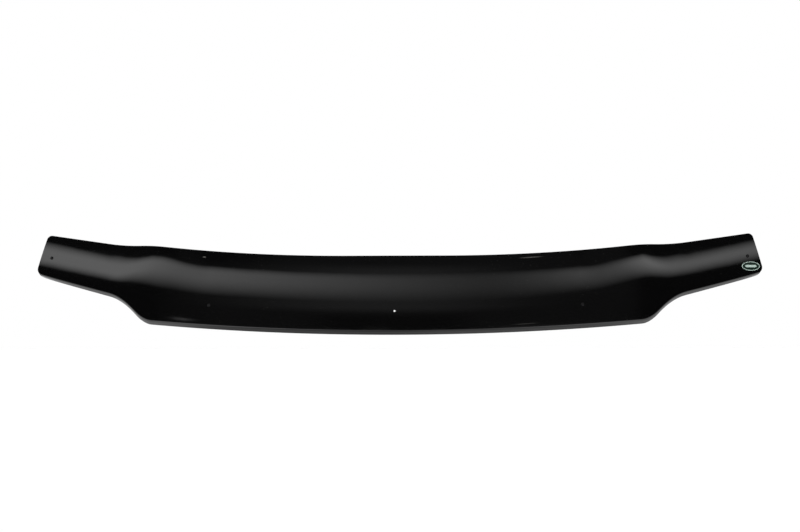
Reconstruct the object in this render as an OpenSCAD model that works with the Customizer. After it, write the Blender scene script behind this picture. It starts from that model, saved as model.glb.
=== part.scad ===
// Hood deflector: one bowed sheet of gloss black acrylic with a return lip along its lower edge.
// X runs across the car, -Y is the front, +Z is up.
// The origin is where the middle fixing hole meets the front face.

/* [Sheet] */
// Thickness of the acrylic sheet
sheet_t = 3; // [2:0.1:4]
// Width across the two top corners
top_w = 1420; // [1370:1:1440]
// How much further out each lower corner lies than the corner above it
end_slant = 23; // [8:1:30]
// Height of the front face in the middle
face_h = 147; // [130:1:165]
// Radius of the upright curve of the front face
section_r = 258; // [225:1:400]
// How much faster than the lower edge the foot of that curve rises along the wings
foot_rise = 0.131; // [0.08:0.001:0.18]
// How much less the curve leans back at the shoulders, as a share
shoulder_flat = 0.05; // [0:0.01:0.12]
// Radius of the upper corner of each wing end
top_corner_r = 9; // [3:0.5:12]
// Radius of the lower corner of each wing end
low_corner_r = 14; // [6:0.5:16]
// Bevel along the cut edges
edge_bevel = 0.5; // [0.2:0.1:0.6]

/* [Plan bow] */
// Where the middle stretch ends and the shoulder begins, from the centre line
shoulder_x = 462; // [430:1:490]
// Slope of the middle stretch in plan where it meets the shoulder
middle_sweep = 0.21; // [0.1:0.01:0.3]
// Slope of the wings in plan
wing_sweep = 0.46; // [0.3:0.01:0.6]
// Length of the shoulder over which the sheet turns back
shoulder_w = 96; // [60:1:120]

/* [Top edge] */
// Half of the straight stretch in the middle of the top edge
top_straight = 93; // [40:1:140]
// Slope that the top edge reaches before the shoulder
top_slope = 0.111; // [0.05:0.001:0.15]
// Width over which the top edge levels off at the shoulder
top_level_w = 44; // [30:1:60]
// Where the top edge starts to rise into the wing, from the centre line
top_rise_x = 511; // [508:1:540]
// Width over which it turns into that rise
top_rise_w = 66; // [40:1:90]
// Slope of the top edge along the wings
wing_top_slope = 0.152; // [0.1:0.001:0.25]

/* [Lower edge] */
// Slope that the lower edge reaches before the flank
low_slope = 0.084; // [0.04:0.001:0.12]
// Where the flank begins, from the centre line
flank_x = 481.5; // [475:0.5:500]
// Slope of the steep flank between the middle and the wing
flank_slope = 1.03; // [0.8:0.01:1.2]
// Width of the turn from the lower edge into the flank
flank_turn_w = 35; // [24:1:44]
// Width of the straight part of the flank
flank_w = 3; // [1:0.5:10]
// Width of the turn from the flank into the wing
wing_turn_w = 52; // [36:1:64]
// Slope of the lower edge along the wings
wing_low_slope = 0.257; // [0.18:0.001:0.3]

/* [Return lip] */
// Height of the lip in front view, in the middle
lip_h = 8.6; // [7.5:0.1:12]
// Height of the lip in front view, at the wing ends
lip_end_h = 7; // [5.6:0.1:8]
// Angle of the lip from the vertical
lip_angle = 50; // [35:1:65]
// Outer radius of the fold into the lip
fold_r = 4.5; // [4.2:0.1:5.5]

/* [Fixing holes] */
// Diameter of each hole
hole_d = 4; // [3:0.1:6]
// Height of the row of holes above the lower edge of the face
hole_up = 38; // [25:1:45]
// Distance of the outer middle holes from the centre line
mid_hole_x = 366; // [300:1:420]
// Distance of each wing hole from the line of the upper corner of that wing
wing_hole_in = 11; // [10:1:40]

/* [Rubber bumpers] */
// Diameter of the head in front of the sheet
head_d = 6.5; // [6.5:0.1:10]
// Height of the domed head
head_h = 1.4; // [1:0.1:3]
// Height of the head's upright rim
head_rim_h = 0.4; // [0.2:0.1:0.8]
// Diameter of the cushion behind the sheet
cushion_d = 16; // [12:0.5:22]
// Height of the cushion
cushion_h = 8; // [4:0.5:14]
// Bevel round the foot of the cushion
cushion_bevel = 1.5; // [0.5:0.1:3]
// Gap between the neck and the hole all round
neck_gap = 0.1; // [0.05:0.01:0.2]
// Gap between the sheet and the head or the cushion
seat_gap = 0.3; // [0.2:0.05:0.5]

/* [Oval decal] */
// Length of the decal
decal_l = 37; // [28:0.5:40]
// Height of the decal
decal_h = 18; // [12:0.5:20]
// Thickness of the decal film
decal_t = 0.3; // [0.2:0.05:0.5]
// Thickness of the glue line under it
film_gap = 0.05; // [0.03:0.01:0.1]
// Distance of its centre from the line of the upper corner
decal_in = 5; // [5:1:40]
// Height of its centre above the lower edge of the face
decal_up = 16; // [14:0.5:22]

/* [Hidden] */

end_x = top_w / 2;
flank_end = flank_x + flank_turn_w;
wing_turn = flank_end + flank_w;
wing_x = wing_turn + wing_turn_w;
bumper_xs = [wing_hole_in - end_x, -mid_hole_x, mid_hole_x, end_x - wing_hole_in];
decal_x = end_x - decal_in;

// Columns of the sheet on one side, closest together where the outline turns
middle_cols = 15;
shoulder_cols = 20;
wing_cols = 6;
corner_cols = 4;
corner_w = 18;
face_rows = 12;
fold_rows = 3;
// How far past the turn into the wing its closer columns reach
past_turn = 20;
// How sharply the cut of a rounded corner dies out away from the wing end
end_blend = 24;
// Least width of the flat part of the lip
lip_flat_min = 0.6;
// How much of the way across from the face to the lip's edge the fold takes
fold_share = 0.5;
// Lengths of the tools that cut the holes and the outline of the decal
drill_l = 6 * sheet_t;
cutter_l = 4 * decal_l;

// A curve that is straight up to a, turns by a slope of 1 between a and b, and is straight beyond
function turn(x, a, b) = x <= a ? 0 : x >= b ? x - (a + b) / 2 : (x - a) ^ 2 / (2 * (b - a));
function turn_slope(x, a, b) = min(max((x - a) / (b - a), 0), 1);
function mix(a, b, t) = a + (b - a) * t;
function ease(x, a, b) = let (t = turn_slope(x, a, b)) t * t * (3 - 2 * t);

// Front view: heights of the top edge and of the lower edge of the face
function top_z(x) = face_h - hole_up
    + top_slope * turn(abs(x), top_straight, shoulder_x)
    - top_slope * turn(abs(x), shoulder_x, shoulder_x + top_level_w)
    + wing_top_slope * turn(abs(x), top_rise_x, top_rise_x + top_rise_w);
function low_z(x) = -hole_up
    + low_slope * turn(abs(x), 0, shoulder_x)
    + (flank_slope - low_slope) * turn(abs(x), flank_x, flank_end)
    - (flank_slope - wing_low_slope) * turn(abs(x), wing_turn, wing_x);
function low_slope_at(x) =
    low_slope * turn_slope(abs(x), 0, shoulder_x)
    + (flank_slope - low_slope) * turn_slope(abs(x), flank_x, flank_end)
    - (flank_slope - wing_low_slope) * turn_slope(abs(x), wing_turn, wing_x);

// Plan: how far the sheet bows back
function plan_y(x) =
    middle_sweep * turn(abs(x), 0, shoulder_x)
    + (wing_sweep - middle_sweep) * turn(abs(x), shoulder_x, shoulder_x + shoulder_w);

// Upright section: an arc that is vertical at its foot and leans back above it and below it
function foot_z(x) = -hole_up
    + low_slope * turn(abs(x), 0, shoulder_x)
    + foot_rise * turn(abs(x), shoulder_x, shoulder_x + shoulder_w);
function upright_part(x) = shoulder_flat
    * ease(abs(x), shoulder_x - shoulder_w, shoulder_x)
    * (1 - ease(abs(x), flank_x, flank_x + shoulder_w));
function above_foot(x, z) = (z - foot_z(x)) * (1 - upright_part(x));
function arc_y(h) = section_r - sqrt(section_r ^ 2 - h ^ 2);
function face_y(x, z) = plan_y(x) + arc_y(above_foot(x, z)) - arc_y(hole_up);
function face_point(x, z) = [x, face_y(x, z), z];

function unit(v) = v / norm(v);

// Unit normal of the front face, towards the front, from points a step apart
step = 0.5;
function face_normal(x, z) = unit(cross(
    face_point(x + step, z) - face_point(x - step, z),
    face_point(x, z + step) - face_point(x, z - step)));

// The wing end: a slanted line, with a rounded corner above and one below that ends halfway down the fold
end_h = top_z(end_x) - low_z(end_x) + lip_end_h;
function round_in(h, r) = h >= r ? 0 : r - sqrt(r ^ 2 - (r - max(h, 0)) ^ 2);
function lip_drop(x) =
    mix(lip_h, lip_end_h, turn_slope(abs(x), wing_turn, end_x)) / sqrt(1 + low_slope_at(x) ^ 2);

// Columns as shares of the half width: 0 is the centre line and 1 the wing end
shoulder_share = (shoulder_x + flank_x) / 2 / end_x;
wing_share = (wing_x + past_turn) / end_x;
corner_share = 1 - corner_w / end_x;
half_shares = [
    for (i = [1:middle_cols]) shoulder_share * i / middle_cols,
    for (i = [1:shoulder_cols]) mix(shoulder_share, wing_share, i / shoulder_cols),
    for (i = [1:wing_cols]) mix(wing_share, corner_share, i / wing_cols),
    for (i = [1:corner_cols]) mix(corner_share, 1, sin(90 * i / corner_cols))
];
shares = [
    for (i = [len(half_shares) - 1:-1:0]) -half_shares[i],
    0,
    each half_shares
];

// Rows down the face, closer together at its two edges
function row_share(i) = (1 - cos(180 * i / face_rows)) / 2;

// A column's place across, for a share of the way down the end line
function column_x(share, down) =
    let (
        side = sign(share),
        part = abs(share),
        above_fold = (1 - down) * end_h - lip_end_h + fold_r / 2,
        cut = round_in(down * end_h, top_corner_r) + round_in(above_fold, low_corner_r)
    )
    side * (part * (end_x + end_slant * down) - cut * part ^ end_blend);

// The face of a column, then its fold and its lip
function column(share) =
    let (
        face_part = 1 - lip_end_h / end_h,
        fold_x = column_x(share, face_part),
        fold_z = low_z(fold_x),
        fold_y = face_y(fold_x, fold_z),
        lean = asin(above_foot(fold_x, fold_z) / section_r),
        drop = lip_drop(fold_x),
        fold_drop = fold_r * (sin(lip_angle) + sin(lean)),
        flat = max(drop - fold_drop, lip_flat_min) / cos(lip_angle),
        low_x = column_x(share, 1)
    )
    [
        for (i = [0:face_rows])
            let (
                down = row_share(i),
                x = column_x(share, down * face_part),
                z = mix(top_z(x), low_z(x), down)
            )
            face_point(x, z),
        for (i = [1:fold_rows])
            let (a = mix(-lean, lip_angle, i / fold_rows))
            [
                mix(fold_x, low_x, fold_share * i / fold_rows),
                fold_y + fold_r * (cos(lean) - cos(a)),
                fold_z - fold_r * (sin(a) + sin(lean))
            ],
        [
            low_x,
            fold_y + fold_r * (cos(lean) - cos(lip_angle)) + flat * sin(lip_angle),
            fold_z - fold_drop - flat * cos(lip_angle)
        ]
    ];

// A closed shell from a grid of points: its front, its back and a bevelled edge all round
module shell(grid, thick, bevel) {
    cols = len(grid);
    rows = len(grid[0]);
    skin = cols * rows;
    function at(i, j) = i * rows + j;
    function on_rim(i, j) = i == 0 || j == 0 || i == cols - 1 || j == rows - 1;
    function inward(i, j) = !on_rim(i, j)
        ? [0, 0, 0]
        : unit(grid[min(max(i, 1), cols - 2)][min(max(j, 1), rows - 2)] - grid[i][j]);
    function backward(i, j) = unit(cross(
        grid[min(i + 1, cols - 1)][j] - grid[max(i - 1, 0)][j],
        grid[i][min(j + 1, rows - 1)] - grid[i][max(j - 1, 0)]));
    rim = [
        for (i = [0:cols - 1]) [i, 0],
        for (j = [1:rows - 1]) [cols - 1, j],
        for (i = [cols - 2:-1:0]) [i, rows - 1],
        for (j = [rows - 2:-1:1]) [0, j]
    ];
    turns = len(rim);
    points = [
        for (i = [0:cols - 1], j = [0:rows - 1]) grid[i][j] + bevel * inward(i, j),
        for (i = [0:cols - 1], j = [0:rows - 1]) grid[i][j] + bevel * inward(i, j) + thick * backward(i, j),
        for (k = rim) grid[k.x][k.y] + bevel * backward(k.x, k.y),
        for (k = rim) grid[k.x][k.y] + (thick - bevel) * backward(k.x, k.y)
    ];
    rings = [
        [for (k = rim) at(k.x, k.y)],
        [for (k = [0:turns - 1]) 2 * skin + k],
        [for (k = [0:turns - 1]) 2 * skin + turns + k],
        [for (k = rim) skin + at(k.x, k.y)]
    ];
    faces = [
        for (i = [0:cols - 2], j = [0:rows - 2]) each [
            [at(i, j), at(i + 1, j), at(i, j + 1)],
            [at(i + 1, j), at(i + 1, j + 1), at(i, j + 1)],
            [skin + at(i, j), skin + at(i, j + 1), skin + at(i + 1, j)],
            [skin + at(i + 1, j), skin + at(i, j + 1), skin + at(i + 1, j + 1)]
        ],
        for (r = [0:2], k = [0:turns - 1])
            let (next = (k + 1) % turns) each [
                [rings[r][next], rings[r][k], rings[r + 1][k]],
                [rings[r][next], rings[r + 1][k], rings[r + 1][next]]
            ]
    ];
    polyhedron(points, faces);
}

// Puts its children on the front face, with their +Z along the face's outward normal
module on_face(x, z) {
    n = face_normal(x, z);
    turn_z = atan2(n.y, n.x);
    turn_y = acos(n.z);
    translate(face_point(x, z)) rotate([0, turn_y, turn_z]) children();
}

function hole_z(x) = low_z(x) + hole_up;

module hole(x) {
    on_face(x, hole_z(x))
        cylinder(h = drill_l, d = hole_d, center = true, $fn = 32);
}

module shield() {
    color([0.03, 0.03, 0.03])
    difference() {
        shell([for (s = shares) column(s)], sheet_t, edge_bevel);
        hole(0);
        for (x = bumper_xs) hole(x);
    }
}

// One bumper: a domed head, a neck through the sheet and a cushion behind it
module bumper() {
    neck_r = hole_d / 2 - neck_gap;
    cushion_top = -sheet_t - seat_gap;
    cushion_foot = cushion_top - cushion_h;
    rotate_extrude($fn = 32)
        polygon([
            [0, cushion_foot],
            [cushion_d / 2 - cushion_bevel, cushion_foot],
            [cushion_d / 2, cushion_foot + cushion_bevel],
            [cushion_d / 2, cushion_top],
            [neck_r, cushion_top],
            [neck_r, seat_gap],
            [head_d / 2, seat_gap],
            for (a = [0:15:90])
                [head_d / 2 * cos(a), seat_gap + head_rim_h + (head_h - head_rim_h) * sin(a)]
        ]);
}

module rubber_bumpers() {
    color([0.06, 0.06, 0.06])
    for (x = bumper_xs) on_face(x, hole_z(x)) bumper();
}

// A film cut to an oval, laid over the curve of the wing
module oval_decal() {
    film_z = low_z(decal_x) + decal_up;
    spare = 4;
    cols = 8;
    rows = 4;
    function film_point(x, z) = face_point(x, z) + (film_gap + decal_t) * face_normal(x, z);
    color([0.1, 0.35, 0.22])
    intersection() {
        shell([
            for (i = [0:cols]) [
                for (j = [0:rows]) film_point(
                    decal_x + (i / cols - 0.5) * (decal_l + spare),
                    film_z - (j / rows - 0.5) * (decal_h + spare))
            ]
        ], decal_t, 0);
        translate([decal_x, plan_y(decal_x), film_z])
            rotate([90, 0, 0])
            linear_extrude(height = cutter_l, center = true)
            polygon([for (a = [0:7.5:352.5]) [decal_l / 2 * cos(a), decal_h / 2 * sin(a)]]);
    }
}

shield();
rubber_bumpers();
oval_decal();
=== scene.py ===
"""Hood deflector: a bowed sheet of gloss black acrylic with its rubber bumpers and its oval decal.

Each operator makes one piece, or the studio, around the packed frame. Sizes are in metres.
X runs across the car, -Y is the front and +Z is up. The origin is the middle fixing hole.
"""

import math

import bmesh
import bpy
from bpy.props import FloatProperty, FloatVectorProperty, IntProperty, PointerProperty
from mathutils import Matrix, Vector


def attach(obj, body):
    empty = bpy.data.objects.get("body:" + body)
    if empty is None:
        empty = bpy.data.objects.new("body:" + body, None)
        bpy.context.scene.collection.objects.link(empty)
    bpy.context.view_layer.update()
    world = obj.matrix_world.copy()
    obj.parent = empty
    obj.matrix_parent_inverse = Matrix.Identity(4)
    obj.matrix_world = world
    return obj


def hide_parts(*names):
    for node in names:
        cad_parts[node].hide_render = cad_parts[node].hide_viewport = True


bl_info = {
    "name": "Hood deflector",
    "version": (1, 0, 0),
    "blender": (4, 5, 0),
    "location": "View3D > Sidebar > Deflector",
    "description": "Builds a bowed acrylic hood deflector with its bumpers, decal and studio",
    "category": "Object",
}

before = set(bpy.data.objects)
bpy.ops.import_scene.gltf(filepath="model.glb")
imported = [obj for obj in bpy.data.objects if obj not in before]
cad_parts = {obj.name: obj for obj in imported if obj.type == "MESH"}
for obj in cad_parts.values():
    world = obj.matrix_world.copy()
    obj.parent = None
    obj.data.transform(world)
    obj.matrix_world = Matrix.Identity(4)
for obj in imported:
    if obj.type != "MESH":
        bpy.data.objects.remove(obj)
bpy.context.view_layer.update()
BODY = "root"
WHITE = (1, 1, 1, 1)
ACRYLIC_IOR = 1.49


def millimetres(label, text, size):
    """A length property whose default is given in millimetres."""
    return FloatProperty(
        name=label, description=text, default=size / 1000, unit="LENGTH", precision=4
    )


def amount(label, text, value):
    return FloatProperty(name=label, description=text, default=value)


def angle(label, text, degrees):
    return FloatProperty(
        name=label, description=text, default=math.radians(degrees), subtype="ANGLE"
    )


def share(label, text, part):
    return FloatProperty(name=label, description=text, default=part, min=0, max=1)


def colour(label, text, red, green, blue):
    return FloatVectorProperty(
        name=label, description=text, default=(red, green, blue), subtype="COLOR", min=0, max=1
    )


# Sizes and colours


class SheetSettings(bpy.types.PropertyGroup):
    """The acrylic sheet: its section, its ends and its return lip."""

    thickness: millimetres("Thickness", "Thickness of the acrylic sheet", 3)
    top_w: millimetres("Top width", "Width across the two top corners", 1420)
    end_slant: millimetres("End slant", "How much further out each lower corner lies", 23)
    face_h: millimetres("Face height", "Height of the front face in the middle", 147)
    section_r: millimetres("Section radius", "Radius of the upright curve of the face", 258)
    foot_rise: amount("Foot rise", "How much faster the foot of the curve rises on the wings", 0.131)
    shoulder_flat: share("Shoulder flat", "How much less the shoulders lean back", 0.05)
    top_corner_r: millimetres("Top corner", "Radius of the upper corner of each wing", 9)
    low_corner_r: millimetres("Low corner", "Radius of the lower corner of each wing", 14)
    edge_bevel: millimetres("Edge bevel", "Bevel along the cut edges", 0.5)
    lip_h: millimetres("Lip height", "Height of the lip in front view, in the middle", 8.6)
    lip_end_h: millimetres("Lip end height", "Height of the lip at the wing ends", 7)
    lip_angle: angle("Lip angle", "Angle of the lip from the vertical", 50)
    fold_r: millimetres("Fold radius", "Outer radius of the fold into the lip", 4.5)


class OutlineSettings(bpy.types.PropertyGroup):
    """The plan bow and the two long edges, each made of slopes with turns between them."""

    shoulder_x: millimetres("Shoulder", "Where the middle stretch ends", 462)
    shoulder_w: millimetres("Shoulder width", "Length over which the sheet turns back", 96)
    middle_sweep: amount("Middle sweep", "Slope in plan where the middle ends", 0.21)
    wing_sweep: amount("Wing sweep", "Slope of the wings in plan", 0.46)
    top_straight: millimetres("Top straight", "Half of the straight stretch of the top", 93)
    top_slope: amount("Top slope", "Slope of the top edge before the shoulder", 0.111)
    top_level_w: millimetres("Top level", "Width over which the top edge levels off", 44)
    top_rise_x: millimetres("Top rise", "Where the top edge starts to rise", 511)
    top_rise_w: millimetres("Top rise width", "Width of the turn into the rise", 66)
    wing_top_slope: amount("Wing top slope", "Slope of the top edge along the wings", 0.152)
    low_slope: amount("Low slope", "Slope of the lower edge before the flank", 0.084)
    flank_x: millimetres("Flank", "Where the flank begins", 481.5)
    flank_slope: amount("Flank slope", "Slope of the steep flank", 1.03)
    flank_turn_w: millimetres("Flank turn", "Width of the turn into the flank", 35)
    flank_w: millimetres("Flank width", "Width of the straight part of the flank", 3)
    wing_turn_w: millimetres("Wing turn", "Width of the turn from flank to wing", 52)
    wing_low_slope: amount("Wing low slope", "Slope of the lower edge of the wings", 0.257)


class FixingSettings(bpy.types.PropertyGroup):
    """The fixing holes and the rubber bumpers that close four of them."""

    hole_d: millimetres("Hole diameter", "Diameter of each fixing hole", 4)
    hole_up: millimetres("Hole height", "Height of the holes above the foot of the face", 38)
    mid_hole_x: millimetres("Middle holes", "Distance of the outer middle holes", 366)
    wing_hole_in: millimetres("Wing holes", "Distance of the wing holes from the corner", 11)
    head_d: millimetres("Head diameter", "Diameter of a bumper's head", 6.5)
    head_h: millimetres("Head height", "Height of the domed head", 1.4)
    head_rim_h: millimetres("Head rim", "Height of the head's upright rim", 0.4)
    cushion_d: millimetres("Cushion diameter", "Diameter of the cushion", 16)
    cushion_h: millimetres("Cushion height", "Height of the cushion", 8)
    cushion_bevel: millimetres("Cushion bevel", "Bevel round the foot of the cushion", 1.5)
    neck_gap: millimetres("Neck gap", "Gap between the neck and its hole", 0.1)
    seat_gap: millimetres("Seat gap", "Gap between the sheet and the rubber", 0.3)
    flash_h: millimetres("Parting line", "Height of the mould line round a cushion", 0.12)


class DecalSettings(bpy.types.PropertyGroup):
    """The oval decal near the end of the right wing."""

    length: millimetres("Length", "Length of the decal", 37)
    height: millimetres("Height", "Height of the decal", 18)
    film_t: millimetres("Film", "Thickness of the decal film", 0.3)
    glue_t: millimetres("Glue line", "Thickness of the glue line under it", 0.05)
    inward: millimetres("Inward", "Distance of its centre from the upper corner", 5)
    up: millimetres("Up", "Height of its centre above the foot of the face", 16)
    ring_w: millimetres("Ring", "Width of the pale ring", 1.1)
    bar_l: millimetres("Bar length", "Length of the plain bar in the middle", 23)
    bar_h: millimetres("Bar height", "Height of the plain bar in the middle", 4.6)


class FinishSettings(bpy.types.PropertyGroup):
    """Colours and gloss of each finish."""

    acrylic: colour("Acrylic", "Colour of the black acrylic", 0.001, 0.001, 0.0011)
    acrylic_rough: share("Acrylic roughness", "Roughness of the moulded face", 0.06)
    edge: colour("Cut edge", "Colour of the sawn and scraped edge", 0.018, 0.018, 0.018)
    edge_rough: share("Edge roughness", "Roughness of the cut edge", 0.38)
    # Also the colour of the painted glints on the acrylic, besides its dust.
    dust: colour("Dust", "Colour of the fine dust", 0.3, 0.29, 0.27)
    rubber: colour("Rubber", "Colour of the rubber", 0.007, 0.007, 0.0075)
    rubber_rough: share("Rubber roughness", "Roughness of the rubber", 0.72)
    pale_print: colour("Pale print", "Colour of the ring and the bar", 0.58, 0.72, 0.65)
    green_print: colour("Green print", "Colour of the oval field", 0.005, 0.02, 0.013)


class StudioSettings(bpy.types.PropertyGroup):
    """Camera, floor and soft lights."""

    look_at: FloatVectorProperty(
        name="Look at", description="Point that the camera distance is measured from",
        default=(0, 0.09, 0.06), subtype="TRANSLATION", unit="LENGTH",
    )
    distance: millimetres("Distance", "Distance of the camera", 5000)
    yaw: angle("Yaw", "How far the camera is turned to the left", 2.37)
    pitch: angle("Pitch", "How far the camera looks up", 1.31)
    roll: angle("Roll", "How far the camera is tilted", 0.1)
    photo_w: IntProperty(name="Picture width", description="Width of the picture", default=800)
    photo_h: IntProperty(name="Picture height", description="Height of the picture", default=532)
    scale: amount("Scale", "Pixels of the picture for each millimetre of the object", 0.5048)
    axis_x: amount("Axis across", "Pixel that the camera's axis passes, across", 396.36)
    axis_y: amount("Axis down", "Pixel that the camera's axis passes, down", 281.08)
    floor_down: millimetres("Floor", "How far the floor lies below the origin", 520)
    floor_w: millimetres("Floor width", "Width of the floor", 240000)
    floor_white: share("Floor white", "Lightness of the floor", 0.8)
    floor_lift: share("Floor lift", "How much lighter the floor is when seen or mirrored", 0.24)
    top_power: amount("Top power", "Strength of the top light", 1.75)
    top_spread: angle("Top spread", "How wide the top light looks", 35)
    top_tilt: angle("Top tilt", "How far in front of overhead the top light stands", 28)
    top_turn: angle("Top turn", "How far the top light is turned round the vertical", -12)


SETTINGS = {
    "deflector_sheet": SheetSettings,
    "deflector_outline": OutlineSettings,
    "deflector_fixing": FixingSettings,
    "deflector_decal": DecalSettings,
    "deflector_finish": FinishSettings,
    "deflector_studio": StudioSettings,
}


def settings(name):
    return getattr(bpy.context.scene, "deflector_" + name)


# The form of the sheet


def turn(x, start, end):
    """A curve that is level up to start, turns by a slope of 1 until end and is straight beyond."""
    if x <= start:
        return 0.0
    if x >= end:
        return x - (start + end) / 2
    return (x - start) ** 2 / (2 * (end - start))


def turned(x, start, end):
    """Slope of that curve."""
    return min(max((x - start) / (end - start), 0.0), 1.0)


def mix(a, b, part):
    return a + (b - a) * part


def eased(x, start, end):
    """Runs smoothly from 0 at start to 1 at end."""
    part = turned(x, start, end)
    return part * part * (3 - 2 * part)


def corner_cut(height, radius):
    """How far a rounded corner cuts in, at a height from its edge."""
    if height >= radius:
        return 0.0
    return radius - math.sqrt(radius**2 - (radius - max(height, 0)) ** 2)


class SheetForm:
    """Where the front face, the fold and the lip lie."""

    end_blend = 24  # how sharply the cut of a corner dies out away from the end
    normal_step = 0.0005  # how far apart the points are that give the face's normal
    least_flat = 0.0006  # the flat lip is never lower than this

    def __init__(self):
        self.s = settings("sheet")
        self.o = settings("outline")
        self.f = settings("fixing")
        o = self.o
        self.end_x = self.s.top_w / 2
        self.flank_end = o.flank_x + o.flank_turn_w
        self.wing_turn = self.flank_end + o.flank_w
        self.wing_x = self.wing_turn + o.wing_turn_w
        self.tall = self.top_z(self.end_x) - self.low_z(self.end_x) + self.s.lip_end_h
        self.face_part = 1 - self.s.lip_end_h / self.tall

    def top_z(self, x):
        o, x = self.o, abs(x)
        middle = turn(x, o.top_straight, o.shoulder_x)
        level = turn(x, o.shoulder_x, o.shoulder_x + o.top_level_w)
        rise = turn(x, o.top_rise_x, o.top_rise_x + o.top_rise_w)
        crown = self.s.face_h - self.f.hole_up
        return crown + o.top_slope * (middle - level) + o.wing_top_slope * rise

    def low_parts(self, x, curve):
        """The lower edge's slopes, each times its own turn."""
        o, x = self.o, abs(x)
        middle = curve(x, 0, o.shoulder_x)
        flank = curve(x, o.flank_x, self.flank_end)
        wing = curve(x, self.wing_turn, self.wing_x)
        into_flank = o.flank_slope - o.low_slope
        into_wing = o.flank_slope - o.wing_low_slope
        return o.low_slope * middle + into_flank * flank - into_wing * wing

    def low_z(self, x):
        return self.low_parts(x, turn) - self.f.hole_up

    def low_slope_at(self, x):
        return self.low_parts(x, turned)

    def plan_y(self, x):
        o, x = self.o, abs(x)
        middle = turn(x, 0, o.shoulder_x)
        wing = turn(x, o.shoulder_x, o.shoulder_x + o.shoulder_w)
        return o.middle_sweep * middle + (o.wing_sweep - o.middle_sweep) * wing

    def foot_z(self, x):
        """Where the upright arc is vertical."""
        o, x = self.o, abs(x)
        middle = turn(x, 0, o.shoulder_x)
        wing = turn(x, o.shoulder_x, o.shoulder_x + o.shoulder_w)
        return o.low_slope * middle + self.s.foot_rise * wing - self.f.hole_up

    def above_foot(self, x, z):
        """Height on the upright arc, which leans back less at the shoulders."""
        o, far = self.o, abs(x)
        towards = eased(far, o.shoulder_x - o.shoulder_w, o.shoulder_x)
        beyond = eased(far, o.flank_x, o.flank_x + o.shoulder_w)
        flatter = self.s.shoulder_flat * towards * (1 - beyond)
        return (z - self.foot_z(x)) * (1 - flatter)

    def arc_y(self, height):
        return self.s.section_r - math.sqrt(self.s.section_r**2 - height**2)

    def face_point(self, x, z):
        bulge = self.arc_y(self.above_foot(x, z)) - self.arc_y(self.f.hole_up)
        return Vector((x, self.plan_y(x) + bulge, z))

    def normal(self, x, z):
        """Unit normal of the front face, towards the front."""
        step = self.normal_step
        across = self.face_point(x + step, z) - self.face_point(x - step, z)
        up = self.face_point(x, z + step) - self.face_point(x, z - step)
        return across.cross(up).normalized()

    def frame_at(self, x, z):
        """A matrix whose Z axis is the face's normal, placed on the face."""
        outward = self.normal(x, z)
        across = Vector((1, 0, 0))
        across = (across - outward * across.dot(outward)).normalized()
        up = outward.cross(across)
        turned_axes = Matrix((across, up, outward)).transposed().to_4x4()
        return Matrix.Translation(self.face_point(x, z)) @ turned_axes

    def column_x(self, part, down):
        """How far across a column lies, at a share of the way down the end line."""
        above_fold = (1 - down) * self.tall - self.s.lip_end_h + self.s.fold_r / 2
        top_cut = corner_cut(down * self.tall, self.s.top_corner_r)
        low_cut = corner_cut(above_fold, self.s.low_corner_r)
        reach = abs(part) * (self.end_x + self.s.end_slant * down)
        return math.copysign(reach - (top_cut + low_cut) * part**self.end_blend, part)

    def face_row(self, part, down):
        x = self.column_x(part, down * self.face_part)
        return self.face_point(x, mix(self.top_z(x), self.low_z(x), down))

    def lip_row(self, part, along_fold, along_flat):
        """A point of the fold, and beyond its end a point of the flat lip."""
        s = self.s
        foot_x = self.column_x(part, self.face_part)
        foot = self.face_point(foot_x, self.low_z(foot_x))
        low_x = self.column_x(part, 1)
        lean = math.asin(self.above_foot(foot.x, foot.z) / s.section_r)
        lip_part = turned(abs(foot_x), self.wing_turn, self.end_x)
        drop = mix(s.lip_h, s.lip_end_h, lip_part) / math.hypot(1, self.low_slope_at(foot_x))
        fold_drop = s.fold_r * (math.sin(s.lip_angle) + math.sin(lean))
        flat = max(drop - fold_drop, self.least_flat) / math.cos(s.lip_angle) * along_flat
        bend = mix(-lean, s.lip_angle, along_fold)
        back = s.fold_r * (math.cos(lean) - math.cos(bend))
        down = s.fold_r * (math.sin(bend) + math.sin(lean))
        return Vector((
            mix(foot_x, low_x, (along_fold + along_flat) / 2),
            foot.y + back + flat * math.sin(s.lip_angle),
            foot.z - down - flat * math.cos(s.lip_angle),
        ))

    def hole_spot(self, x):
        return x, self.low_z(x) + self.f.hole_up

    def bumper_xs(self):
        wing = self.end_x - self.f.wing_hole_in
        return (-wing, -self.f.mid_hole_x, self.f.mid_hole_x, wing)


# Materials


def node(tree, kind, inputs=(), **values):
    """Adds a node, sets its own values, then its inputs: a socket is linked and a number is set."""
    made = tree.nodes.new(kind)
    for name, value in values.items():
        setattr(made, name, value)
    for name, value in dict(inputs).items():
        if isinstance(value, bpy.types.NodeSocket):
            tree.links.new(value, made.inputs[name])
        else:
            made.inputs[name].default_value = value
    return made


def math_node(tree, operation, *inputs):
    return node(tree, "ShaderNodeMath", enumerate(inputs), operation=operation).outputs[0]


def ease(tree, value, low, high, to_low=0.0, to_high=1.0):
    """Runs smoothly from to_low at low to to_high at high."""
    made = node(
        tree, "ShaderNodeMapRange",
        {"Value": value, "From Min": low, "From Max": high, "To Min": to_low, "To Max": to_high},
        interpolation_type="SMOOTHSTEP",
    )
    return made.outputs["Result"]


def bent(tree, place, middle, left, right):
    """One number in the middle, eased to another at each end.

    The left end is given as where it ends, where it starts and its number, and the right end as
    where it starts, where it ends and its number.
    """
    left_end, left_start, at_left = left
    right_start, right_end, at_right = right
    low = ease(tree, place, left_end, left_start, at_left - middle, 0.0)
    high = ease(tree, place, right_start, right_end, 0.0, at_right - middle)
    return math_node(tree, "ADD", math_node(tree, "ADD", low, high), middle)


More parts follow.
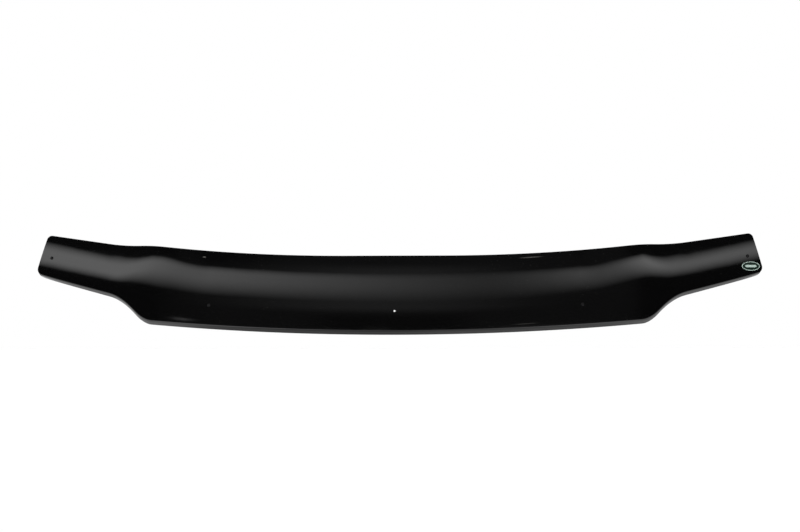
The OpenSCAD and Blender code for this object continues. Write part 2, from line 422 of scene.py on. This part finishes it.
def new_group(name, inputs, outputs):
    """An empty shader group with named sockets, and its two end nodes."""
    tree = bpy.data.node_groups.new(name, "ShaderNodeTree")
    for label, kind in inputs:
        tree.interface.new_socket(label, in_out="INPUT", socket_type="NodeSocket" + kind)
    for label, kind in outputs:
        tree.interface.new_socket(label, in_out="OUTPUT", socket_type="NodeSocket" + kind)
    source = tree.nodes.new("NodeGroupInput").outputs
    target = tree.nodes.new("NodeGroupOutput").inputs
    return tree, source, target


def dust_group():
    """Sparse specks of dust: 1 on a speck and 0 between specks."""
    name = "Dust specks"
    if name in bpy.data.node_groups:
        return bpy.data.node_groups[name]
    tree, source, target = new_group(
        name, (("Vector", "Vector"), ("Scale", "Float"), ("Amount", "Float")), (("Mask", "Float"),)
    )
    cells = node(tree, "ShaderNodeTexVoronoi", {"Vector": source["Vector"], "Scale": source["Scale"]})
    patches = node(
        tree, "ShaderNodeTexNoise", {"Vector": source["Vector"], "Scale": 9.0, "Detail": 2.0}
    )
    kept = math_node(tree, "LESS_THAN", cells.outputs["Color"], source["Amount"])
    speck = ease(tree, cells.outputs["Distance"], 0.05, 0.16, 1.0, 0.0)
    patch = ease(tree, patches.outputs["Fac"], 0.4, 0.65)
    mask = math_node(tree, "MULTIPLY", math_node(tree, "MULTIPLY", kept, speck), patch)
    tree.links.new(mask, target["Mask"])
    return tree


def grain_group():
    """A fine uneven height for bumps, with a broad swell under it."""
    name = "Fine grain"
    if name in bpy.data.node_groups:
        return bpy.data.node_groups[name]
    tree, source, target = new_group(
        name,
        (("Vector", "Vector"), ("Fine scale", "Float"), ("Swell scale", "Float"), ("Swell", "Float")),
        (("Height", "Float"),),
    )
    fine = node(
        tree, "ShaderNodeTexNoise",
        {"Vector": source["Vector"], "Scale": source["Fine scale"], "Detail": 3.0},
    )
    swell = node(
        tree, "ShaderNodeTexNoise",
        {"Vector": source["Vector"], "Scale": source["Swell scale"], "Detail": 1.0},
    )
    raised = math_node(tree, "MULTIPLY", swell.outputs["Fac"], source["Swell"])
    total = math_node(tree, "ADD", fine.outputs["Fac"], raised)
    tree.links.new(total, target["Height"])
    return tree


def smudge_group():
    """Soft wiping marks that run along the sheet: 0 where clean and 1 where smudged."""
    name = "Wiping marks"
    if name in bpy.data.node_groups:
        return bpy.data.node_groups[name]
    tree, source, target = new_group(
        name, (("Vector", "Vector"), ("Scale", "Float")), (("Mask", "Float"),)
    )
    stretched = node(
        tree, "ShaderNodeMapping", {"Vector": source["Vector"], "Scale": (0.22, 0.6, 1.0)}
    )
    marks = node(
        tree, "ShaderNodeTexNoise",
        {"Vector": stretched.outputs["Vector"], "Scale": source["Scale"], "Detail": 4.0,
         "Distortion": 0.6},
    )
    tree.links.new(ease(tree, marks.outputs["Fac"], 0.48, 0.72), target["Mask"])
    return tree


def painted_glint_group():
    """A short painted glint, a pale streak that stands in for mirrored light, placed by its centre,
    half sizes and tilt: 1 on it and 0 away from it.
    """
    name = "Pale rub"
    if name in bpy.data.node_groups:
        return bpy.data.node_groups[name]
    tree, source, target = new_group(
        name,
        (("Vector", "Vector"), ("Centre", "Vector"), ("Tilt", "Vector"), ("Half size", "Vector")),
        (("Mask", "Float"),),
    )
    near = node(
        tree, "ShaderNodeMapping",
        {"Vector": source["Vector"], "Location": source["Centre"], "Rotation": source["Tilt"],
         "Scale": source["Half size"]},
        vector_type="TEXTURE",
    )
    far = node(
        tree, "ShaderNodeVectorMath", {0: near.outputs["Vector"]}, operation="LENGTH"
    ).outputs["Value"]
    tree.links.new(ease(tree, far, 0.2, 1.0, 1.0, 0.0), target["Mask"])
    return tree


def new_material(name, **constants):
    """A material with its shader's own constants set, its tree, shader and object coordinates."""
    material = bpy.data.materials.new(name)
    material.use_nodes = True
    tree = material.node_tree
    shader = tree.nodes["Principled BSDF"]
    for label, value in constants.items():
        shader.inputs[label.replace("_", " ")].default_value = value
    place = tree.nodes.new("ShaderNodeTexCoord").outputs["Object"]
    return material, tree, shader, place


def placed_group(tree, group, **inputs):
    made = tree.nodes.new("ShaderNodeGroup")
    made.node_tree = group
    for label, value in inputs.items():
        socket = made.inputs[label.replace("_", " ")]
        if isinstance(value, bpy.types.NodeSocket):
            tree.links.new(value, socket)
        else:
            socket.default_value = value
    return made.outputs


def tint(tree, base, over, mask):
    """Base colour with another laid over it where the mask is 1."""
    made = tree.nodes.new("ShaderNodeMix")
    made.data_type = "RGBA"
    tree.links.new(mask, made.inputs["Factor"])
    for label, value in (("A", base), ("B", over)):
        socket = next(s for s in made.inputs if s.name == label and s.type == "RGBA")
        socket.default_value = (*value, 1)
    return next(s for s in made.outputs if s.type == "RGBA")


def bumped(tree, shader, height, distance):
    bump = node(tree, "ShaderNodeBump", {"Height": height, "Distance": distance})
    tree.links.new(bump.outputs["Normal"], shader.inputs["Normal"])


def acrylic_material():
    """Gloss black acrylic, drape-formed, with a faint swell, wiping marks, a little dust and three
    painted glints.
    """
    finish = settings("finish")
    dust_pale, dust_rough, smudge_rough = 0.12, 0.3, 0.035
    glint_half_h = 0.0014
    material, tree, shader, place = new_material("Gloss black acrylic", IOR=ACRYLIC_IOR)
    dust = placed_group(tree, dust_group(), Vector=place, Scale=210.0, Amount=0.3)["Mask"]
    faint = math_node(tree, "MULTIPLY", dust, dust_pale)
    # Three painted highlights: short pale streaks laid into the base colour where the gloss mirrors
    # small lights.
    for centre, half_w, tilt, glint_paleness in (
        ((-0.379, 0, 0.108), 0.0045, 0, 0.6),
        ((0.266, 0, 0.1052), 0.03, -0.06, 0.26),
        ((0.254, 0, -0.0255), 0.034, -0.07, 0.09),
    ):
        glint_mask = placed_group(
            tree, painted_glint_group(), Vector=place, Centre=centre, Tilt=(0, tilt, 0),
            Half_size=(half_w, 1, glint_half_h),
        )["Mask"]
        faint = math_node(tree, "ADD", faint, math_node(tree, "MULTIPLY", glint_mask, glint_paleness))
    shader_colour = tint(tree, finish.acrylic, finish.dust, faint)
    tree.links.new(shader_colour, shader.inputs["Base Color"])
    marks = placed_group(tree, smudge_group(), Vector=place, Scale=26.0)["Mask"]
    clean = finish.acrylic_rough
    rough = ease(tree, marks, 0.0, 1.0, clean, clean + smudge_rough)
    rough = math_node(tree, "ADD", rough, math_node(tree, "MULTIPLY", dust, dust_rough))
    tree.links.new(rough, shader.inputs["Roughness"])
    height = placed_group(
        tree, grain_group(), Vector=place, Fine_scale=420.0, Swell_scale=34.0, Swell=14.0
    )["Height"]
    bumped(tree, shader, height, distance=0.000004)
    return material


def cut_edge_material():
    """The sheet's sawn edge, scraped smooth, with fine marks across it."""
    finish = settings("finish")
    scraped_paler, smoother, rougher = 2.2, 0.08, 0.12
    material, tree, shader, place = new_material("Scraped acrylic edge", IOR=ACRYLIC_IOR)
    grain = placed_group(
        tree, grain_group(), Vector=place, Fine_scale=1900.0, Swell_scale=260.0, Swell=1.5
    )["Height"]
    pale = tuple(scraped_paler * part for part in finish.edge)
    tree.links.new(
        tint(tree, finish.edge, pale, ease(tree, grain, 1.1, 1.5)), shader.inputs["Base Color"]
    )
    even = finish.edge_rough
    rough = ease(tree, grain, 0.9, 1.6, even - smoother, even + rougher)
    tree.links.new(rough, shader.inputs["Roughness"])
    bumped(tree, shader, grain, distance=0.00003)
    return material


def rubber_material():
    """Moulded black rubber with a fine grain and a touch of dust."""
    finish = settings("finish")
    dust_pale, uneven = 0.06, 0.1
    material, tree, shader, place = new_material(
        "Moulded black rubber", IOR=1.52, Specular_IOR_Level=0.2
    )
    dust = placed_group(tree, dust_group(), Vector=place, Scale=900.0, Amount=0.4)["Mask"]
    faint = math_node(tree, "MULTIPLY", dust, dust_pale)
    tree.links.new(tint(tree, finish.rubber, finish.dust, faint), shader.inputs["Base Color"])
    grain = placed_group(
        tree, grain_group(), Vector=place, Fine_scale=2600.0, Swell_scale=420.0, Swell=1.2
    )["Height"]
    even = finish.rubber_rough
    rough = ease(tree, grain, 0.8, 1.4, even - uneven, even + uneven)
    tree.links.new(rough, shader.inputs["Roughness"])
    bumped(tree, shader, grain, distance=0.00004)
    return material


def print_material(name, ink):
    """Ink under a clear film: a fine mottle in the ink and a faint ripple in the film."""
    dark_share, smooth, rough = 0.86, 0.2, 0.27
    material, tree, shader, place = new_material(name, IOR=1.5)
    mottle = placed_group(
        tree, grain_group(), Vector=place, Fine_scale=1500.0, Swell_scale=300.0, Swell=0.8
    )["Height"]
    darker = tuple(dark_share * part for part in ink)
    tree.links.new(
        tint(tree, darker, ink, ease(tree, mottle, 0.7, 1.1)), shader.inputs["Base Color"]
    )
    tree.links.new(ease(tree, mottle, 0.7, 1.1, smooth, rough), shader.inputs["Roughness"])
    bumped(tree, shader, mottle, distance=0.000008)
    return material


# Pieces


def finished_piece(name, mesh, materials, node_name):
    """Makes the object, gives it its materials and hides the CAD node that it stands for."""
    data = bpy.data.meshes.new(name)
    mesh.to_mesh(data)
    mesh.free()
    for material in materials:
        data.materials.append(material)
    for face in data.polygons:
        face.use_smooth = True
    piece = bpy.data.objects.new(name, data)
    bpy.context.scene.collection.objects.link(piece)
    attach(piece, BODY)
    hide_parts(node_name)
    return piece


def bevel_modifier(piece, width, segments, sharper_than):
    bevel = piece.modifiers.new("Edge bevel", "BEVEL")
    bevel.limit_method = "ANGLE"
    bevel.angle_limit = math.radians(sharper_than)
    bevel.width = width
    bevel.segments = segments
    bevel.harden_normals = True


class DEFLECTOR_OT_sheet(bpy.types.Operator):
    """Make the bowed acrylic sheet with its lip and its five fixing holes"""

    bl_idname = "deflector.sheet"
    bl_label = "Sheet"

    columns: IntProperty(name="Columns", description="Faces across the sheet", default=400)
    face_rows: IntProperty(name="Face rows", description="Faces down the front face", default=40)
    fold_rows: IntProperty(name="Fold rows", description="Faces round the fold", default=8)
    flat_rows: IntProperty(name="Lip rows", description="Faces down the flat lip", default=3)

    hole_rings = (1.35, 0.85, 0.5)  # radius of each ring of faces round a hole, per diameter
    ring_inset = 0.0002

    def execute(self, context):
        form = SheetForm()
        mesh = bmesh.new()
        rows = self.face_rows + self.fold_rows + self.flat_rows
        bmesh.ops.create_grid(mesh, x_segments=self.columns, y_segments=rows, size=1)
        for vert in mesh.verts:
            row = round((1 - vert.co.y) / 2 * rows)
            vert.co = self.spot(form, vert.co.x, row)
        for x in (0, *form.bumper_xs()):
            self.open_hole(mesh, form, x)
        bmesh.ops.recalc_face_normals(mesh, faces=mesh.faces)
        if sum(face.normal.y for face in mesh.faces) > 0:
            bmesh.ops.reverse_faces(mesh, faces=mesh.faces)
        piece = finished_piece(
            "acrylic_sheet", mesh, (acrylic_material(), cut_edge_material()), "shield"
        )
        wall = piece.modifiers.new("Sheet thickness", "SOLIDIFY")
        wall.thickness = form.s.thickness
        wall.offset = -1
        wall.use_even_offset = True
        wall.use_quality_normals = True
        wall.material_offset_rim = 1
        bevel_modifier(piece, form.s.edge_bevel, segments=2, sharper_than=45)
        return {"FINISHED"}

    def spot(self, form, part, row):
        """Where a corner of the grid lies: rows crowd towards the two long edges of the face."""
        if row <= self.face_rows:
            down = (1 - math.cos(math.pi * row / self.face_rows)) / 2
            return form.face_row(part, down)
        row -= self.face_rows
        if row <= self.fold_rows:
            return form.lip_row(part, row / self.fold_rows, 0)
        return form.lip_row(part, 1, (row - self.fold_rows) / self.flat_rows)

    def open_hole(self, mesh, form, x):
        """Clears four by four faces round a hole and closes them up to its round edge."""
        x, z = form.hole_spot(x)
        centre = form.face_point(x, z)
        middle = min(mesh.verts, key=lambda vert: (vert.co - centre).length_squared)
        near = set(middle.link_faces)
        block = {face for one in near for vert in one.verts for face in vert.link_faces}
        bmesh.ops.dissolve_faces(mesh, faces=list(block), use_verts=True)
        patch = min(mesh.faces, key=lambda face: (face.calc_center_median() - centre).length)
        for ring in self.hole_rings:
            bmesh.ops.inset_region(
                mesh, faces=[patch], thickness=self.ring_inset, use_even_offset=False
            )
            self.round_ring(form, patch, x, z, ring * form.f.hole_d)
        bmesh.ops.delete(mesh, geom=[patch], context="FACES_ONLY")

    def round_ring(self, form, patch, x, z, radius):
        """Spaces a face's corners evenly round a circle on the front face."""
        to_face = form.frame_at(x, z)
        to_flat = to_face.inverted()
        flat = [to_flat @ vert.co for vert in patch.verts]
        angles = [math.atan2(spot.y, spot.x) for spot in flat]
        step = math.remainder(angles[1] - angles[0], math.tau)
        step = math.copysign(math.tau / len(flat), step)
        turns = [place - step * count for count, place in enumerate(angles)]
        start = turns[0] + sum(math.remainder(t - turns[0], math.tau) for t in turns) / len(turns)
        for count, vert in enumerate(patch.verts):
            place = start + step * count
            spot = to_face @ Vector((radius * math.cos(place), radius * math.sin(place), 0))
            vert.co = form.face_point(spot.x, spot.z)


class DEFLECTOR_OT_bumpers(bpy.types.Operator):
    """Make the rubber bumpers: a domed head, a neck through the sheet and a cushion behind it"""

    bl_idname = "deflector.bumpers"
    bl_label = "Bumpers"

    steps: IntProperty(name="Steps", description="Faces round a bumper", default=48)
    dome_steps: IntProperty(name="Dome steps", description="Faces up the dome", default=8)

    dish_depth = 0.0006
    dish_floor, dish_rim = 0.42, 0.5  # radii of the dish in the cushion's foot, per radius
    line_down = 0.4  # how far down the cushion its mould line runs, per height

    def execute(self, context):
        form = SheetForm()
        mesh = bmesh.new()
        for x in form.bumper_xs():
            before = set(mesh.verts)
            self.turned_piece(mesh, self.profile(form.f, form.s.thickness))
            made = [vert for vert in mesh.verts if vert not in before]
            bmesh.ops.transform(mesh, matrix=form.frame_at(*form.hole_spot(x)), verts=made)
        bmesh.ops.recalc_face_normals(mesh, faces=mesh.faces)
        piece = finished_piece("bumpers", mesh, (rubber_material(),), "rubber_bumpers")
        bevel_modifier(piece, width=0.00025, segments=2, sharper_than=50)
        return {"FINISHED"}

    def profile(self, f, sheet_t):
        """Half section from the foot of the cushion to the top of the dome, as radius and height."""
        neck_r = f.hole_d / 2 - f.neck_gap
        seat = -sheet_t - f.seat_gap
        foot = seat - f.cushion_h
        cushion_r = f.cushion_d / 2
        line = seat - self.line_down * f.cushion_h
        dome = f.head_h - f.head_rim_h
        quarter = [math.pi / 2 * step / self.dome_steps for step in range(self.dome_steps + 1)]
        return [
            (0, foot + self.dish_depth),
            (self.dish_floor * cushion_r, foot + self.dish_depth),
            (self.dish_rim * cushion_r, foot),
            (cushion_r - f.cushion_bevel, foot),
            (cushion_r, foot + f.cushion_bevel),
            (cushion_r, line - f.flash_h),
            (cushion_r + f.flash_h, line),
            (cushion_r, line + f.flash_h),
            (cushion_r, seat),
            (neck_r, seat),
            (neck_r, f.seat_gap),
            (f.head_d / 2, f.seat_gap),
            *[
                (f.head_d / 2 * math.cos(a), f.seat_gap + f.head_rim_h + dome * math.sin(a))
                for a in quarter
            ],
        ]

    def turned_piece(self, mesh, profile):
        """Turns the half section round the upright axis."""
        verts = [mesh.verts.new((radius, 0, height)) for radius, height in profile]
        edges = [mesh.edges.new(pair) for pair in zip(verts, verts[1:])]
        bmesh.ops.spin(
            mesh, geom=verts + edges, cent=(0, 0, 0), axis=(0, 0, 1), angle=math.tau,
            steps=self.steps, use_merge=True,
        )
        merge_dist = 1e-6
        poles = [vert for vert in mesh.verts if vert.co.xy.length < merge_dist]
        bmesh.ops.remove_doubles(mesh, verts=poles, dist=merge_dist)


class DEFLECTOR_OT_decal(bpy.types.Operator):
    """Make the oval decal: a pale ring, a green field and a plain bar across the middle"""

    bl_idname = "deflector.decal"
    bl_label = "Decal"

    steps: IntProperty(name="Steps", description="Corners round the oval", default=96)
    field_rings: IntProperty(name="Field rings", description="Rings across the field", default=5)

    inset_reach = 0.9  # how much of the first circle's radius the rings take up
    core_share = 0.05  # half height of the bar's core, per height of the bar

    def execute(self, context):
        form = SheetForm()
        d = settings("decal")
        finish = settings("finish")
        mesh = bmesh.new()
        bmesh.ops.create_circle(mesh, cap_ends=True, segments=self.steps, radius=1)
        middle = mesh.faces[:][0]
        rings = self.field_rings + 2
        ring_w = self.inset_reach / rings
        for ring in range(rings):
            made = bmesh.ops.inset_region(
                mesh, faces=[middle], thickness=ring_w, use_boundary=True, use_even_offset=True
            )
            for face in made["faces"]:
                face.material_index = int(0 < ring <= self.field_rings)
        x = form.end_x - d.inward
        z = form.low_z(x) + d.up
        for vert in mesh.verts:
            ring = round((1 - vert.co.xy.length) / ring_w)
            spot = self.spot(d, math.atan2(vert.co.y, vert.co.x), self.depth(ring))
            at = x + spot.x, z + spot.y
            vert.co = form.face_point(*at) + (d.glue_t + d.film_t) * form.normal(*at)
        mesh.normal_update()
        if middle.normal.y > 0:
            bmesh.ops.reverse_faces(mesh, faces=mesh.faces)
        pale = print_material("Pale print", finish.pale_print)
        green = print_material("Green print", finish.green_print)
        piece = finished_piece("decal", mesh, (pale, green), "oval_decal")
        film = piece.modifiers.new("Film thickness", "SOLIDIFY")
        film.thickness = d.film_t
        film.offset = -1
        bevel_modifier(piece, width=0.0001, segments=2, sharper_than=45)
        return {"FINISHED"}

    def depth(self, ring):
        """0 at the film's edge, 1 inside the pale ring, 2 at the bar and 3 in its core."""
        if ring > self.field_rings + 1:
            return 3
        return ring if ring < 2 else 1 + (ring - 1) / self.field_rings

    def spot(self, d, a, depth):
        """Where the outline at a depth lies, at a turn of a round it."""
        core_h = self.core_share * d.bar_h
        shapes = (
            self.oval(a, d.length / 2, d.height / 2),
            self.oval(a, d.length / 2 - d.ring_w, d.height / 2 - d.ring_w),
            self.capsule(a, d.bar_l / 2, d.bar_h / 2),
            self.capsule(a, d.bar_l / 2 - d.bar_h / 2 + core_h, core_h),
        )
        whole = min(int(depth), 2)
        return shapes[whole].lerp(shapes[whole + 1], depth - whole)

    def oval(self, a, half_l, half_h):
        return Vector((half_l * math.cos(a), half_h * math.sin(a)))

    def capsule(self, a, half_l, half_h):
        """A bar with round ends."""
        straight = math.copysign(half_l - half_h, math.cos(a))
        return Vector((straight + half_h * math.cos(a), half_h * math.sin(a)))


# The studio


class DEFLECTOR_OT_studio(bpy.types.Operator):
    """Set up the camera, the pale floor, the soft lights and the white background"""

    bl_idname = "deflector.studio"
    bl_label = "Studio"

    def execute(self, context):
        scene = context.scene
        scene.view_settings.view_transform = "Standard"
        self.camera(scene)
        self.floor(scene)
        self.top_light(scene)
        self.surroundings(scene)
        return {"FINISHED"}

    def camera(self, scene):
        """Turned left, tipped up and rolled about the point that it looks at."""
        s = settings("studio")
        data = bpy.data.cameras.new("Camera")
        camera = bpy.data.objects.new("Camera", data)
        scene.collection.objects.link(camera)
        scene.camera = camera
        turned_left = Matrix.Rotation(s.yaw, 4, "Z")
        tipped_up = Matrix.Rotation(s.pitch, 4, "X")
        rolled = Matrix.Rotation(s.roll, 4, "Y")
        upright = Matrix.Rotation(math.pi / 2, 4, "X")
        aim = turned_left @ tipped_up @ rolled
        back = aim @ Vector((0, -s.distance, 0))
        camera.matrix_world = Matrix.Translation(Vector(s.look_at) + back) @ aim @ upright
        data.sensor_fit = "HORIZONTAL"
        data.lens = data.sensor_width * s.scale * s.distance * 1000 / s.photo_w
        data.shift_x = (s.photo_w / 2 - s.axis_x) / s.photo_w
        data.shift_y = (s.axis_y - s.photo_h / 2) / s.photo_w
        data.clip_end = s.floor_w
        data.clip_start = 0.05

    def floor(self, scene):
        """A wide matt floor, white to the camera but for the object's shadow."""
        s = settings("studio")
        mesh = bmesh.new()
        bmesh.ops.create_grid(mesh, x_segments=1, y_segments=1, size=s.floor_w / 2)
        bmesh.ops.translate(mesh, verts=mesh.verts, vec=(0, 0, -s.floor_down))
        data = bpy.data.meshes.new("floor")
        mesh.to_mesh(data)
        mesh.free()
        floor = bpy.data.objects.new("floor", data)
        scene.collection.objects.link(floor)
        material = bpy.data.materials.new("Matt white floor")
        material.use_nodes = True
        tree = material.node_tree
        tree.nodes.clear()
        white = (s.floor_white,) * 3 + (1,)
        paint = node(tree, "ShaderNodeBsdfDiffuse", {"Color": white})
        path = tree.nodes.new("ShaderNodeLightPath").outputs
        seen = math_node(tree, "MAXIMUM", path["Is Camera Ray"], path["Is Transmission Ray"])
        seen = math_node(tree, "MULTIPLY", seen, s.floor_lift)
        mirrored = math_node(tree, "MULTIPLY", path["Is Glossy Ray"], self.mirrored_lift(tree))
        lift = math_node(tree, "ADD", seen, mirrored)
        glow = node(tree, "ShaderNodeEmission", {"Color": WHITE, "Strength": lift})
        both = node(tree, "ShaderNodeAddShader", enumerate((paint.outputs[0], glow.outputs[0])))
        node(tree, "ShaderNodeOutputMaterial", {"Surface": both.outputs[0]})
        data.materials.append(material)

    def mirrored_lift(self, tree):
        """How much lighter the gloss sees the floor: least left of the middle, most by the wings."""
        dark_x, by_shoulder, by_flank = -0.25, 0.78, 0.62
        place = tree.nodes.new("ShaderNodeTexCoord").outputs["Object"]
        part = node(tree, "ShaderNodeSeparateXYZ", {"Vector": place}).outputs
        away = math_node(tree, "ABSOLUTE", part["X"])
        from_dark = self.distance_from(tree, part["X"], dark_x)
        plain = ease(tree, from_dark, 0.2, 0.4, 0.0, settings("studio").floor_lift)
        shoulder = ease(tree, away, 0.5, 0.72, 0.0, by_shoulder)
        flank = ease(tree, away, 1.17, 1.33, 0.0, by_flank)
        patch = math_node(tree, "ADD", shoulder, flank)
        patch = math_node(tree, "MULTIPLY", patch, ease(tree, away, 1.7, 2.4, 1.0, 0.0))
        lift = math_node(tree, "ADD", plain, patch)
        return math_node(tree, "MULTIPLY", lift, ease(tree, part["Y"], 1.4, 2.2, 1.0, 0.0))

    def distance_from(self, tree, value, centre):
        return math_node(tree, "ABSOLUTE", math_node(tree, "SUBTRACT", value, centre))

    def top_light(self, scene):
        """One broad light from above the front, which the gloss doesn't mirror."""
        s = settings("studio")
        data = bpy.data.lights.new("Top light", "SUN")
        data.energy = s.top_power
        data.angle = s.top_spread
        lamp = bpy.data.objects.new("Top light", data)
        lamp.rotation_euler = (s.top_tilt, 0, s.top_turn)
        lamp.visible_glossy = False
        scene.collection.objects.link(lamp)

    def surroundings(self, scene):
        """White to the camera. To the object, a dark room with a soft wall of light in front.

        Height is in degrees above level, and side in degrees to the right of straight ahead.
        """
        world = bpy.data.worlds.new("Studio")
        scene.world = world
        world.use_nodes = True
        tree = world.node_tree
        tree.nodes.clear()
        direction = tree.nodes.new("ShaderNodeTexCoord").outputs["Generated"]
        part = node(tree, "ShaderNodeSeparateXYZ", {"Vector": direction}).outputs
        height = math_node(tree, "DEGREES", math_node(tree, "ARCSINE", part["Z"]))
        ahead = math_node(tree, "ABSOLUTE", part["Y"])
        side = math_node(tree, "DEGREES", math_node(tree, "ARCTAN2", part["X"], ahead))
        total = self.light_wall(tree, height, side)
        for light in (self.weak_fill, self.dark_room, self.low_lamp):
            total = math_node(tree, "ADD", total, light(tree, height, side))
        lit = node(tree, "ShaderNodeBackground", {"Color": WHITE, "Strength": total})
        white = node(tree, "ShaderNodeBackground", {"Color": WHITE, "Strength": 1.0})
        path = tree.nodes.new("ShaderNodeLightPath").outputs
        seen = math_node(tree, "MAXIMUM", path["Is Camera Ray"], path["Is Transmission Ray"])
        shown = node(
            tree, "ShaderNodeMixShader", {0: seen, 1: lit.outputs[0], 2: white.outputs[0]}
        )
        node(tree, "ShaderNodeOutputWorld", {"Surface": shown.outputs[0]})

    def light_wall(self, tree, height, side):
        """A soft wall of light round the front, brightest on each side and dim right of the middle.

        Its top sinks towards both ends. Its foot sinks on the left, and rises on the right before
        it sinks again.
        """
        upper_power, lower_power = 0.5, 0.6
        strength = bent(tree, side, 0.3, (-54, 10, 2.4), (8, 44, 2.6))
        top = bent(tree, side, 52.5, (-62, -36, 44), (36, 54, 46))
        top_soft = bent(tree, side, 7, (-62, -48, 9), (36, 54, 14))
        foot = bent(tree, side, 25.5, (-62, -48, 22.5), (10, 30, 31.5))
        right_sink = ease(tree, side, 34, 54, 0.0, 4.0)
        foot = math_node(tree, "SUBTRACT", foot, right_sink)
        foot_soft = bent(tree, side, 17, (-62, -36, 6.5), (8, 54, 13))
        upper = ease(tree, height, math_node(tree, "SUBTRACT", top, top_soft), top, 1.0, 0.0)
        lower = ease(tree, height, foot, math_node(tree, "ADD", foot, foot_soft))
        upper = math_node(tree, "POWER", upper, upper_power)
        lower = math_node(tree, "POWER", lower, lower_power)
        return math_node(tree, "MULTIPLY", strength, math_node(tree, "MULTIPLY", upper, lower))

    def weak_fill(self, tree, height, side):
        """A weak patch of light near straight ahead, which reaches past the wall's top and foot."""
        centre, strength = -5.0, 0.17
        rise = ease(tree, height, 14.0, 21.0)
        fall = ease(tree, height, 53.0, 64.0, 1.0, 0.0)
        across = self.distance_from(tree, side, centre)
        middle = ease(tree, across, 1.0, 25.0, strength, 0.0)
        return math_node(tree, "MULTIPLY", middle, math_node(tree, "MULTIPLY", rise, fall))

    def dark_room(self, tree, height, side):
        """The dim rest of the room, darker at the sides, and low down near straight ahead."""
        front_wall, side_wall = 0.08, 0.033
        door_side, door_dark = -3.0, 0.42
        walls = ease(tree, math_node(tree, "ABSOLUTE", side), 22.0, 36.0, front_wall, side_wall)
        across = self.distance_from(tree, side, door_side)
        ahead = ease(tree, across, 6.0, 12.0, door_dark, 0.0)
        doorway = math_node(tree, "MULTIPLY", ahead, ease(tree, height, 10.0, 16.0, 1.0, 0.0))
        return math_node(tree, "MULTIPLY", walls, math_node(tree, "SUBTRACT", 1.0, doorway))

    def low_lamp(self, tree, height, side):
        """A small lamp low on the left, which the gloss mirrors as a short streak."""
        lamp_side, lamp_height, strength = -28.6, 3.2, 0.9
        across = self.distance_from(tree, side, lamp_side)
        above = self.distance_from(tree, height, lamp_height)
        wide = ease(tree, across, 0.0, 1.8, strength, 0.0)
        tall = ease(tree, above, 0.0, 1.6, 1.0, 0.0)
        return math_node(tree, "MULTIPLY", wide, tall)


class DEFLECTOR_PT_panel(bpy.types.Panel):
    """Lists the operators with the sizes and colours that each one uses"""

    bl_idname = "DEFLECTOR_PT_panel"
    bl_label = "Hood deflector"
    bl_space_type = "VIEW_3D"
    bl_region_type = "UI"
    bl_category = "Deflector"

    def draw(self, context):
        for operator in OPERATORS:
            self.layout.operator(operator.bl_idname)
        for name, group in SETTINGS.items():
            box = self.layout.box()
            box.label(text=group.__doc__)
            for prop in group.__annotations__:
                box.prop(getattr(context.scene, name), prop)


OPERATORS = (
    DEFLECTOR_OT_sheet,
    DEFLECTOR_OT_bumpers,
    DEFLECTOR_OT_decal,
    DEFLECTOR_OT_studio,
)


def register():
    for group in (*SETTINGS.values(), *OPERATORS, DEFLECTOR_PT_panel):
        bpy.utils.register_class(group)
    for name, group in SETTINGS.items():
        setattr(bpy.types.Scene, name, PointerProperty(type=group))


def unregister():
    for name in SETTINGS:
        delattr(bpy.types.Scene, name)
    for group in reversed((*SETTINGS.values(), *OPERATORS, DEFLECTOR_PT_panel)):
        bpy.utils.unregister_class(group)


def main():
    register()
    bpy.ops.deflector.sheet()
    bpy.ops.deflector.bumpers()
    bpy.ops.deflector.decal()
    bpy.ops.deflector.studio()


if __name__ == "__main__":
    main()
